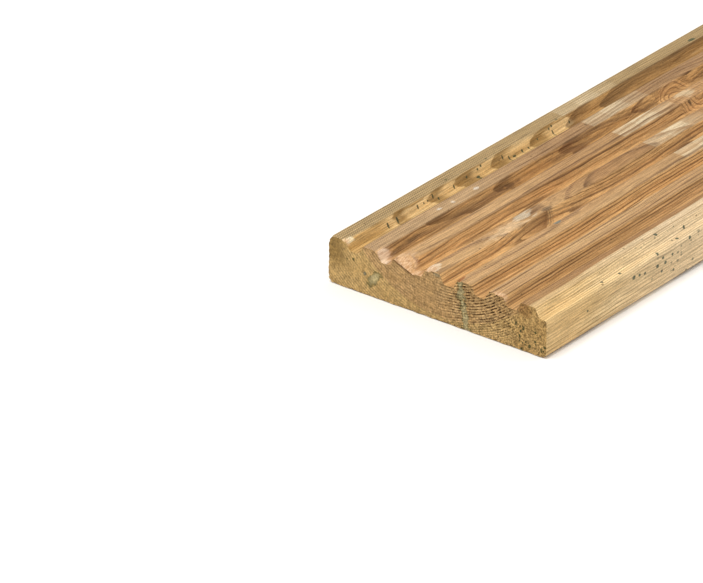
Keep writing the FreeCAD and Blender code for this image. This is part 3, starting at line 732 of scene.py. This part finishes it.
# Fine fibre over all of it, lighter and darker, with the cutters' faint bars across and their lines along.
comb = add_node(wood, "ShaderNodeMath", {"operation": "MULTIPLY"}, {0: x, 1: 2 * math.pi / 1.7})
comb = add_node(wood, "ShaderNodeMath", {"operation": "MULTIPLY_ADD"}, {0: mid, 1: 4.0, 2: comb})
comb = add_node(wood, "ShaderNodeMath", {"operation": "SINE"}, {0: comb})
cross = add_node(wood, "ShaderNodeMath", {"operation": "MULTIPLY"}, {0: y, 1: 2 * math.pi / 1.5})
cross = add_node(wood, "ShaderNodeMath", {"operation": "SINE"}, {0: cross})
stitch = add_node(wood, "ShaderNodeMath", {"operation": "MULTIPLY_ADD"}, {0: cross, 1: 0.9, 2: 0.7})
hatch = add_node(wood, "ShaderNodeMath", {"operation": "MULTIPLY"}, {0: comb, 1: stitch})
left_tops = add_node(wood, "ShaderNodeMapRange", {}, {0: x, 1: -36.0, 2: -60.0, 3: 0.06, 4: 0.48})
faded = add_node(wood, "ShaderNodeMapRange", {}, {0: y, 1: -840.0, 2: -740.0, 3: 1.0, 4: 0.4})
for limit in (on_top, patchy, faded):
    left_tops = add_node(wood, "ShaderNodeMath", {"operation": "MULTIPLY"}, {0: left_tops, 1: limit})
fleck = add_node(wood, "ShaderNodeMapRange", {}, {0: fine, 1: 0.25, 2: 0.75, 3: 0.66, 4: 1.3})
grain = add_node(wood, "ShaderNodeMapRange", {}, {0: grit, 1: 0.25, 2: 0.75, 3: 0.84, 4: 1.14})
fleck = add_node(wood, "ShaderNodeMath", {"operation": "MULTIPLY"}, {0: fleck, 1: grain})
plain = add_node(wood, "ShaderNodeMath", {"operation": "MULTIPLY"}, {0: torn_here.outputs["Fac"], 1: 0.75})
fleck = add_node(wood, "ShaderNodeMix", {"data_type": "FLOAT"}, {0: plain, 2: fleck, 3: 1.0})
fleck = add_node(wood, "ShaderNodeMath", {"operation": "MULTIPLY_ADD"}, {0: hatch, 1: left_tops, 2: fleck})
tone = add_node(wood, "ShaderNodeVectorMath", {"operation": "SCALE"}, {0: tone, "Scale": fleck})

relief = add_node(wood, "ShaderNodeMath", {"operation": "MULTIPLY"}, {0: growth["latewood"], 1: 0.12})
relief = add_node(wood, "ShaderNodeMath", {"operation": "MULTIPLY_ADD"}, {0: fine, 1: 0.34, 2: relief})
relief = add_node(wood, "ShaderNodeMath", {"operation": "MULTIPLY_ADD"}, {0: grit, 1: 0.16, 2: relief})
relief = add_node(wood, "ShaderNodeMath", {"operation": "MULTIPLY_ADD"}, {0: hatch, 1: 0.012, 2: relief})
relief = add_node(wood, "ShaderNodeMix", {"data_type": "FLOAT"}, {0: plain, 2: relief, 3: 0.2})
bump = add_node(wood, "ShaderNodeBump", {}, {"Height": relief, "Distance": 0.001, "Strength": 1.0})
rough = add_node(wood, "ShaderNodeMapRange", {}, {0: fine, 1: 0.3, 2: 0.7, 3: 0.76, 4: 0.60})
surface = add_node(wood, "ShaderNodeBsdfPrincipled", {},
                   {"Base Color": tone, "Roughness": rough, "Normal": bump, "IOR": 1.5, "Specular IOR Level": 0.3})
add_node(wood, "ShaderNodeOutputMaterial", {}, {0: surface})

# Sawn end grain: a coarse blade leaves a brown fuzz of torn tubes, dull, and pitted along the rings, most of
# all to the right of the middle.
sawn = bpy.data.materials.new("sawn_end_grain")
sawn.use_nodes = True
cut = sawn.node_tree
cut.nodes.clear()
seat = add_node(cut, "ShaderNodeTexCoord", {}, {})
spot = add_node(cut, "ShaderNodeVectorMath", {"operation": "SCALE"}, {0: seat.outputs["Object"], "Scale": 1000.0})
growth = grow_wood(cut, spot)
x, y, z = growth["x"], growth["y"], growth["z"]


def end_pits(tree, growth, spot):
    """Where the saw tore the soft wood out of the end grain: broken dashes along the rings."""
    along = add_node(tree, "ShaderNodeCombineXYZ", {}, {0: growth["ring"], 1: growth["arc"], 2: 0.0})
    along = add_node(tree, "ShaderNodeVectorMath", {"operation": "MULTIPLY"}, {0: along, 1: (0.9, 1 / 3.0, 1.0)})
    broken = add_node(tree, "ShaderNodeTexNoise", {}, {"Vector": along, "Scale": 1.0, "Detail": 3.0})
    broken = add_node(tree, "ShaderNodeMapRange", {}, {0: broken, 1: 0.40, 2: 0.62, 3: 0.0, 4: 1.0})
    season = add_node(tree, "ShaderNodeMath", {"operation": "FRACT"}, {0: growth["ring"]})
    pit = between(tree, season, 0.40, 0.92, 0.14)
    pit = add_node(tree, "ShaderNodeMath", {"operation": "MULTIPLY"}, {0: pit, 1: broken})
    in_middle = between(tree, growth["x"], 6.0, 50.0, 11.0)
    low = add_node(tree, "ShaderNodeMapRange", {}, {0: growth["z"], 1: 2.0, 2: 16.0, 3: 0.35, 4: 1.0})
    share = add_node(tree, "ShaderNodeMath", {"operation": "MULTIPLY"}, {0: in_middle, 1: low})
    share = add_node(tree, "ShaderNodeMath", {"operation": "MULTIPLY_ADD"}, {0: share, 1: 0.85, 2: 0.10})
    return add_node(tree, "ShaderNodeMath", {"operation": "MULTIPLY"}, {0: pit, 1: share})


pits = end_pits(cut, growth, spot)
fuzz = add_node(cut, "ShaderNodeTexNoise", {}, {"Vector": spot, "Scale": 1 / 0.9, "Detail": 3.0, "Roughness": 0.7})
tufts = add_node(cut, "ShaderNodeTexNoise", {}, {"Vector": spot, "Scale": 1 / 2.4, "Detail": 2.0})
cloud = add_node(cut, "ShaderNodeTexNoise", {}, {"Vector": spot, "Scale": 1 / 9.0, "Detail": 3.0})
heart_tone = add_node(cut, "ShaderNodeMix", {"data_type": "RGBA"}, {0: cloud, 6: linear("#ab8551"), 7: linear("#c9a473")})
sap_tone = add_node(cut, "ShaderNodeMix", {"data_type": "RGBA"}, {0: cloud, 6: linear("#b28d54"), 7: linear("#d6b479")})
tone = add_node(cut, "ShaderNodeMix", {"data_type": "RGBA"}, {0: growth["heart"], 6: sap_tone, 7: heart_tone})
upper_left = between(cut, x, -90.0, -62.0, 5.0)
upper = add_node(cut, "ShaderNodeMapRange", {}, {0: z, 1: 8.0, 2: 16.0, 3: 0.0, 4: 0.8})
upper_left = add_node(cut, "ShaderNodeMath", {"operation": "MULTIPLY"}, {0: upper_left, 1: upper})
tone = add_node(cut, "ShaderNodeMix", {"data_type": "RGBA"}, {0: upper_left, 6: tone, 7: linear("#8a6c3a")})
# Thin rings, plainest on the left, where the saw cut cleaner, and pits along them on the right.
season = add_node(cut, "ShaderNodeMath", {"operation": "FRACT"}, {0: growth["ring"]})
line = between(cut, season, 0.66, 0.86, 0.12)
cleaner = add_node(cut, "ShaderNodeMapRange", {}, {0: x, 1: -15.0, 2: 5.0, 3: 0.56, 4: 0.30})
fuzzier = add_node(cut, "ShaderNodeMapRange", {}, {0: x, 1: 35.0, 2: 60.0, 3: 1.0, 4: 0.75})
speckled = add_node(cut, "ShaderNodeMath", {"operation": "SUBTRACT"}, {0: 1.0, 1: upper_left})
cleaner = add_node(cut, "ShaderNodeMath", {"operation": "MULTIPLY"}, {0: cleaner, 1: speckled})
share = add_node(cut, "ShaderNodeMath", {"operation": "MULTIPLY"}, {0: line, 1: cleaner})
share = add_node(cut, "ShaderNodeMath", {"operation": "MULTIPLY"}, {0: share, 1: fuzzier})
patchy = add_node(cut, "ShaderNodeMapRange", {}, {0: cloud, 1: 0.36, 2: 0.58, 3: 0.15, 4: 1.0})
share = add_node(cut, "ShaderNodeMath", {"operation": "MULTIPLY"}, {0: share, 1: patchy})
tone = add_node(cut, "ShaderNodeMix", {"data_type": "RGBA"}, {0: share, 6: tone, 7: linear("#4f3616")})
tone = add_node(cut, "ShaderNodeMix", {"data_type": "RGBA"}, {0: pits, 6: tone, 7: linear("#4a3016")})
lip = between(cut, season, 0.10, 0.34, 0.08)
lip = add_node(cut, "ShaderNodeMath", {"operation": "MULTIPLY"}, {0: lip, 1: patchy})
rough_part = between(cut, x, 4.0, 50.0, 8.0)
lip = add_node(cut, "ShaderNodeMath", {"operation": "MULTIPLY"}, {0: lip, 1: rough_part})
tone = add_node(cut, "ShaderNodeMix", {"data_type": "RGBA"}, {0: lip, 6: tone, 7: linear("#d2ae78")})
darker = add_node(cut, "ShaderNodeMapRange", {}, {0: x, 1: 40.0, 2: 54.0, 3: 0.0, 4: 0.34})
tone = add_node(cut, "ShaderNodeMix", {"data_type": "RGBA"}, {0: darker, 6: tone, 7: linear("#8b6733")})
# A dark split runs under the torn edge of the third ridge.
split = add_node(cut, "ShaderNodeMath", {"operation": "MULTIPLY_ADD"}, {0: x, 1: 0.40, 2: z})
split = between(cut, split, 14.2, 15.4, 0.5)
split_part = between(cut, x, -29.0, -15.5, 1.5)
split = add_node(cut, "ShaderNodeMath", {"operation": "MULTIPLY"}, {0: split, 1: split_part})
split = add_node(cut, "ShaderNodeMath", {"operation": "MULTIPLY"}, {0: split, 1: 0.7})
tone = add_node(cut, "ShaderNodeMix", {"data_type": "RGBA"}, {0: split, 6: tone, 7: linear("#5f3d1e")})
for middle, reach, code, share in (((-55.5, -900.0, 18.3), (0.9, 9.0, 1.0), "#3f4424", 0.8),
                                   ((-60.0, -900.0, 17.2), (0.8, 9.0, 0.8), "#4f4a26", 0.6),
                                   ((-48.0, -900.0, 12.2), (0.9, 9.0, 1.1), "#61685a", 0.75),
                                   ((0.8, -900.0, 26.4), (3.2, 9.0, 1.0), "#8d8468", 0.6),
                                   ((58.0, -900.0, 23.5), (4.6, 9.0, 4.0), "#8a5d2c", 0.5)):
    away = add_node(cut, "ShaderNodeVectorMath", {"operation": "SUBTRACT"}, {0: spot, 1: middle})
    away = add_node(cut, "ShaderNodeVectorMath", {"operation": "DIVIDE"}, {0: away, 1: reach})
    away = add_node(cut, "ShaderNodeVectorMath", {"operation": "LENGTH"}, {0: away})
    away = add_node(cut, "ShaderNodeMath", {"operation": "ADD"}, {0: away, 1: tufts})
    mark = add_node(cut, "ShaderNodeMapRange", {}, {0: away, 1: 1.7, 2: 1.2, 3: 0.0, 4: share})
    tone = add_node(cut, "ShaderNodeMix", {"data_type": "RGBA"}, {0: mark, 6: tone, 7: linear(code)})
rays = add_node(cut, "ShaderNodeCombineXYZ", {}, {0: growth["radius"], 1: growth["arc"], 2: 0.0})
rays = stretched_noise(cut, rays, (3.5, 0.7, 1), 2.0)
rays = add_node(cut, "ShaderNodeMapRange", {}, {0: rays, 1: 0.3, 2: 0.7, 3: 0.82, 4: 1.16})
torn_tubes = add_node(cut, "ShaderNodeMapRange", {}, {0: x, 1: -30.0, 2: 55.0, 3: 1.5, 4: 3.9})
speck = add_node(cut, "ShaderNodeMath", {"operation": "SUBTRACT"}, {0: fuzz, 1: 0.49})
plain_light = add_node(cut, "ShaderNodeMapRange", {}, {0: x, 1: -45.0, 2: 0.0, 3: 1.04, 4: 0.95})
speck = add_node(cut, "ShaderNodeMath", {"operation": "MULTIPLY_ADD"}, {0: speck, 1: torn_tubes, 2: plain_light})
soft_light = add_node(cut, "ShaderNodeMapRange", {}, {0: tufts, 1: 0.35, 2: 0.65, 3: 0.82, 4: 1.18})
# Painted shade: the end face's colour darkens towards its bottom edge, over the lowest seven millimetres.
painted_low_shade = add_node(cut, "ShaderNodeMapRange", {}, {0: z, 1: 0.0, 2: 7.0, 3: 0.92, 4: 1.0})
for factor in (rays, soft_light, painted_low_shade):
    speck = add_node(cut, "ShaderNodeMath", {"operation": "MULTIPLY"}, {0: speck, 1: factor})
tone = add_node(cut, "ShaderNodeVectorMath", {"operation": "SCALE"}, {0: tone, "Scale": speck})

# The olive streak under the fifth ridge and the blot on the left, both pale inside with a darker rim, and the
# green specks in the lower right corner.
lean = add_node(cut, "ShaderNodeMath", {"operation": "MULTIPLY_ADD"}, {0: z, 1: -0.2, 2: 20.0})
lean = add_node(cut, "ShaderNodeMath", {"operation": "SUBTRACT"}, {0: x, 1: lean})
lean = add_node(cut, "ShaderNodeMath", {"operation": "ABSOLUTE"}, {0: lean})
lean = add_node(cut, "ShaderNodeMath", {"operation": "MULTIPLY"}, {0: lean, 1: 1 / 3.1})
blot = add_node(cut, "ShaderNodeVectorMath", {"operation": "SUBTRACT"}, {0: spot, 1: (-41.6, -900.0, 11.0)})
blot_long = add_node(cut, "ShaderNodeVectorMath", {"operation": "DOT_PRODUCT"}, {0: blot, 1: (0.074, 0.0, 0.10)})
blot_wide = add_node(cut, "ShaderNodeVectorMath", {"operation": "DOT_PRODUCT"}, {0: blot, 1: (0.24, 0.0, -0.185)})
blot = add_node(cut, "ShaderNodeCombineXYZ", {}, {0: blot_long, 1: blot_wide})
blot = add_node(cut, "ShaderNodeVectorMath", {"operation": "LENGTH"}, {0: blot})
blot = add_node(cut, "ShaderNodeMath", {"operation": "MULTIPLY_ADD"}, {0: tufts, 1: 1.1, 2: blot})
blot = add_node(cut, "ShaderNodeMath", {"operation": "ADD"}, {0: blot, 1: 0.55})
lean = add_node(cut, "ShaderNodeMath", {"operation": "MULTIPLY_ADD"}, {0: tufts, 1: 2.4, 2: lean})
stain = add_node(cut, "ShaderNodeMath", {"operation": "MINIMUM"}, {0: lean, 1: blot})
near_cut = add_node(cut, "ShaderNodeMapRange", {}, {0: y, 1: -880.0, 2: -890.0, 3: 0.0, 4: 0.72})
stained = add_node(cut, "ShaderNodeMapRange", {}, {0: stain, 1: 2.08, 2: 1.86, 3: 0.0, 4: 1.0})
stained = add_node(cut, "ShaderNodeMath", {"operation": "MULTIPLY"}, {0: stained, 1: near_cut})
pale = add_node(cut, "ShaderNodeMath", {"operation": "MULTIPLY_ADD"}, {0: cloud, 1: 1.6, 2: stain})
pale = add_node(cut, "ShaderNodeMapRange", {}, {0: pale, 1: 2.7, 2: 2.1, 3: 0.0, 4: 1.0})
stain_tone = add_node(cut, "ShaderNodeMix", {"data_type": "RGBA"}, {0: pale, 6: linear("#5c5830"), 7: linear("#bcb083")})
stain_tone = add_node(cut, "ShaderNodeVectorMath", {"operation": "SCALE"}, {0: stain_tone, "Scale": speck})
tone = add_node(cut, "ShaderNodeMix", {"data_type": "RGBA"}, {0: stained, 6: tone, 7: stain_tone})
corner = between(cut, x, 48.0, 90.0, 4.0)
under = between(cut, z, -5.0, 16.0, 3.0)
corner = add_node(cut, "ShaderNodeMath", {"operation": "MULTIPLY"}, {0: corner, 1: under})
drops = specks(cut, spot, (2.0, 9.0, 2.7), 0.62, 0.52)
drops = add_node(cut, "ShaderNodeMath", {"operation": "MULTIPLY"}, {0: drops, 1: corner})
drops = add_node(cut, "ShaderNodeMath", {"operation": "MULTIPLY"}, {0: drops, 1: 0.8})
tone = add_node(cut, "ShaderNodeMix", {"data_type": "RGBA"}, {0: drops, 6: tone, 7: linear("#23381f")})
relief = add_node(cut, "ShaderNodeMath", {"operation": "MULTIPLY"}, {0: fuzz, 1: 0.9})
relief = add_node(cut, "ShaderNodeMath", {"operation": "MULTIPLY_ADD"}, {0: pits, 1: -0.5, 2: relief})
bump = add_node(cut, "ShaderNodeBump", {}, {"Height": relief, "Distance": 0.001, "Strength": 1.0})
surface = add_node(cut, "ShaderNodeBsdfPrincipled", {},
                   {"Base Color": tone, "Roughness": 0.88, "Normal": bump, "Specular IOR Level": 0.15})
add_node(cut, "ShaderNodeOutputMaterial", {}, {0: surface})

# The relief: a Geometry Nodes tree that sinks the soft wood, waves the planed faces and roughens the sawn ends.
relief_tree = bpy.data.node_groups.new("grown_and_sawn_relief", "GeometryNodeTree")
relief_tree.interface.new_socket("Geometry", in_out="INPUT", socket_type="NodeSocketGeometry")
relief_tree.interface.new_socket("Geometry", in_out="OUTPUT", socket_type="NodeSocketGeometry")
depths = {"Soft wood depth": 0.10, "Planing wave": 0.20, "Saw roughness": 0.9, "Pit depth": 0.8, "Ragged arris": 0.8}
for name in depths:
    relief_tree.interface.new_socket(name, in_out="INPUT", socket_type="NodeSocketFloat")
given = add_node(relief_tree, "NodeGroupInput", {}, {})
where = add_node(relief_tree, "GeometryNodeInputPosition", {}, {})
outward = add_node(relief_tree, "GeometryNodeInputNormal", {}, {})
spot = add_node(relief_tree, "ShaderNodeVectorMath", {"operation": "SCALE"}, {0: where, "Scale": 1000.0})
growth = grow_wood(relief_tree, spot)
facing = add_node(relief_tree, "ShaderNodeSeparateXYZ", {}, {0: outward})
facing = add_node(relief_tree, "ShaderNodeMath", {"operation": "ABSOLUTE"}, {0: facing.outputs[1]})
is_end = add_node(relief_tree, "FunctionNodeCompare", {"data_type": "FLOAT", "operation": "GREATER_THAN"},
                  {0: facing, 1: 0.9})
on_end = add_node(relief_tree, "ShaderNodeMapRange", {}, {0: facing, 1: 0.5, 2: 0.9, 3: 0.0, 4: 1.0})
on_length = add_node(relief_tree, "ShaderNodeMath", {"operation": "SUBTRACT"}, {0: 1.0, 1: on_end})

kept = add_node(relief_tree, "GeometryNodeCaptureAttribute", {"domain": "FACE"}, {0: given.outputs[0]})
kept.capture_items.new("BOOLEAN", "Sawn")
relief_tree.links.new(is_end.outputs[0], kept.inputs[1])

soft = add_node(relief_tree, "ShaderNodeMath", {"operation": "SUBTRACT"}, {0: 1.0, 1: growth["latewood"]})
soft = add_node(relief_tree, "ShaderNodeMath", {"operation": "MULTIPLY"}, {0: soft, 1: given.outputs["Soft wood depth"]})
stretched = add_node(relief_tree, "ShaderNodeVectorMath", {"operation": "MULTIPLY"},
                     {0: spot, 1: (1 / 12, 1 / 80, 1 / 12)})
wave = add_node(relief_tree, "ShaderNodeTexNoise", {}, {"Vector": stretched, "Scale": 1.0, "Detail": 1.0})
sunk = add_node(relief_tree, "ShaderNodeMath", {"operation": "MULTIPLY_ADD"},
                {0: wave, 1: given.outputs["Planing wave"], 2: soft})
sunk = add_node(relief_tree, "ShaderNodeMath", {"operation": "MULTIPLY"}, {0: sunk, 1: on_length})
grit = add_node(relief_tree, "ShaderNodeTexNoise", {}, {"Vector": spot, "Scale": 1 / 1.3, "Detail": 2.0})
pits = end_pits(relief_tree, growth, spot)
pits = add_node(relief_tree, "ShaderNodeMath", {"operation": "MULTIPLY"}, {0: pits, 1: given.outputs["Pit depth"]})
rough = add_node(relief_tree, "ShaderNodeMath", {"operation": "MULTIPLY_ADD"},
                 {0: grit, 1: given.outputs["Saw roughness"], 2: pits})
rough = add_node(relief_tree, "ShaderNodeMath", {"operation": "MULTIPLY"}, {0: rough, 1: on_end})
from_end = add_node(relief_tree, "ShaderNodeMath", {"operation": "ABSOLUTE"}, {0: growth["y"]})
at_cut = add_node(relief_tree, "ShaderNodeMapRange", {}, {0: from_end, 1: 898.4, 2: 900.0, 3: 0.0, 4: 1.0})
chips = add_node(relief_tree, "ShaderNodeMapRange", {}, {0: grit, 1: 0.42, 2: 0.7, 3: 0.0, 4: 1.0})
ragged = add_node(relief_tree, "ShaderNodeMath", {"operation": "MULTIPLY"}, {0: chips, 1: given.outputs["Ragged arris"]})
ragged = add_node(relief_tree, "ShaderNodeMath", {"operation": "MULTIPLY"}, {0: ragged, 1: at_cut})
ragged = add_node(relief_tree, "ShaderNodeMath", {"operation": "MULTIPLY"}, {0: ragged, 1: on_length})
inward = add_node(relief_tree, "ShaderNodeMath", {"operation": "ADD"}, {0: sunk, 1: rough})
inward = add_node(relief_tree, "ShaderNodeMath", {"operation": "ADD"}, {0: inward, 1: ragged})
inward = add_node(relief_tree, "ShaderNodeMath", {"operation": "MULTIPLY"}, {0: inward, 1: -0.001})
shift = add_node(relief_tree, "ShaderNodeVectorMath", {"operation": "SCALE"}, {0: outward, "Scale": inward})
shaped = add_node(relief_tree, "GeometryNodeSetPosition", {}, {"Geometry": kept, "Offset": shift})
single = add_node(relief_tree, "GeometryNodeRealizeInstances", {}, {0: shaped})
finished = add_node(relief_tree, "GeometryNodeSetMaterial", {}, {"Geometry": single, "Material": planed})
finished = add_node(relief_tree, "GeometryNodeSetMaterial", {},
                    {"Geometry": finished, "Selection": kept.outputs[1], "Material": sawn})
add_node(relief_tree, "NodeGroupOutput", {}, {0: finished})

blank = bpy.data.objects.new("board_blank", board_mesh)
bpy.context.collection.objects.link(blank)
relief_step = blank.modifiers.new("relief", "NODES")
relief_step.node_group = relief_tree
for item in relief_tree.interface.items_tree:
    if item.in_out == "INPUT" and item.name in depths:
        relief_step[item.identifier] = depths[item.name]
evaluated = blank.evaluated_get(bpy.context.evaluated_depsgraph_get())
wood_mesh = bpy.data.meshes.new_from_object(evaluated)
wood_mesh.name = "grooved_pine_board"
bpy.data.objects.remove(blank)
wood_mesh.shade_smooth()
wood_mesh.set_sharp_from_angle(angle=math.radians(38))
board = bpy.data.objects.new("grooved_pine_board", wood_mesh)
bpy.context.collection.objects.link(board)
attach(board, "root")
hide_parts("decking_board")
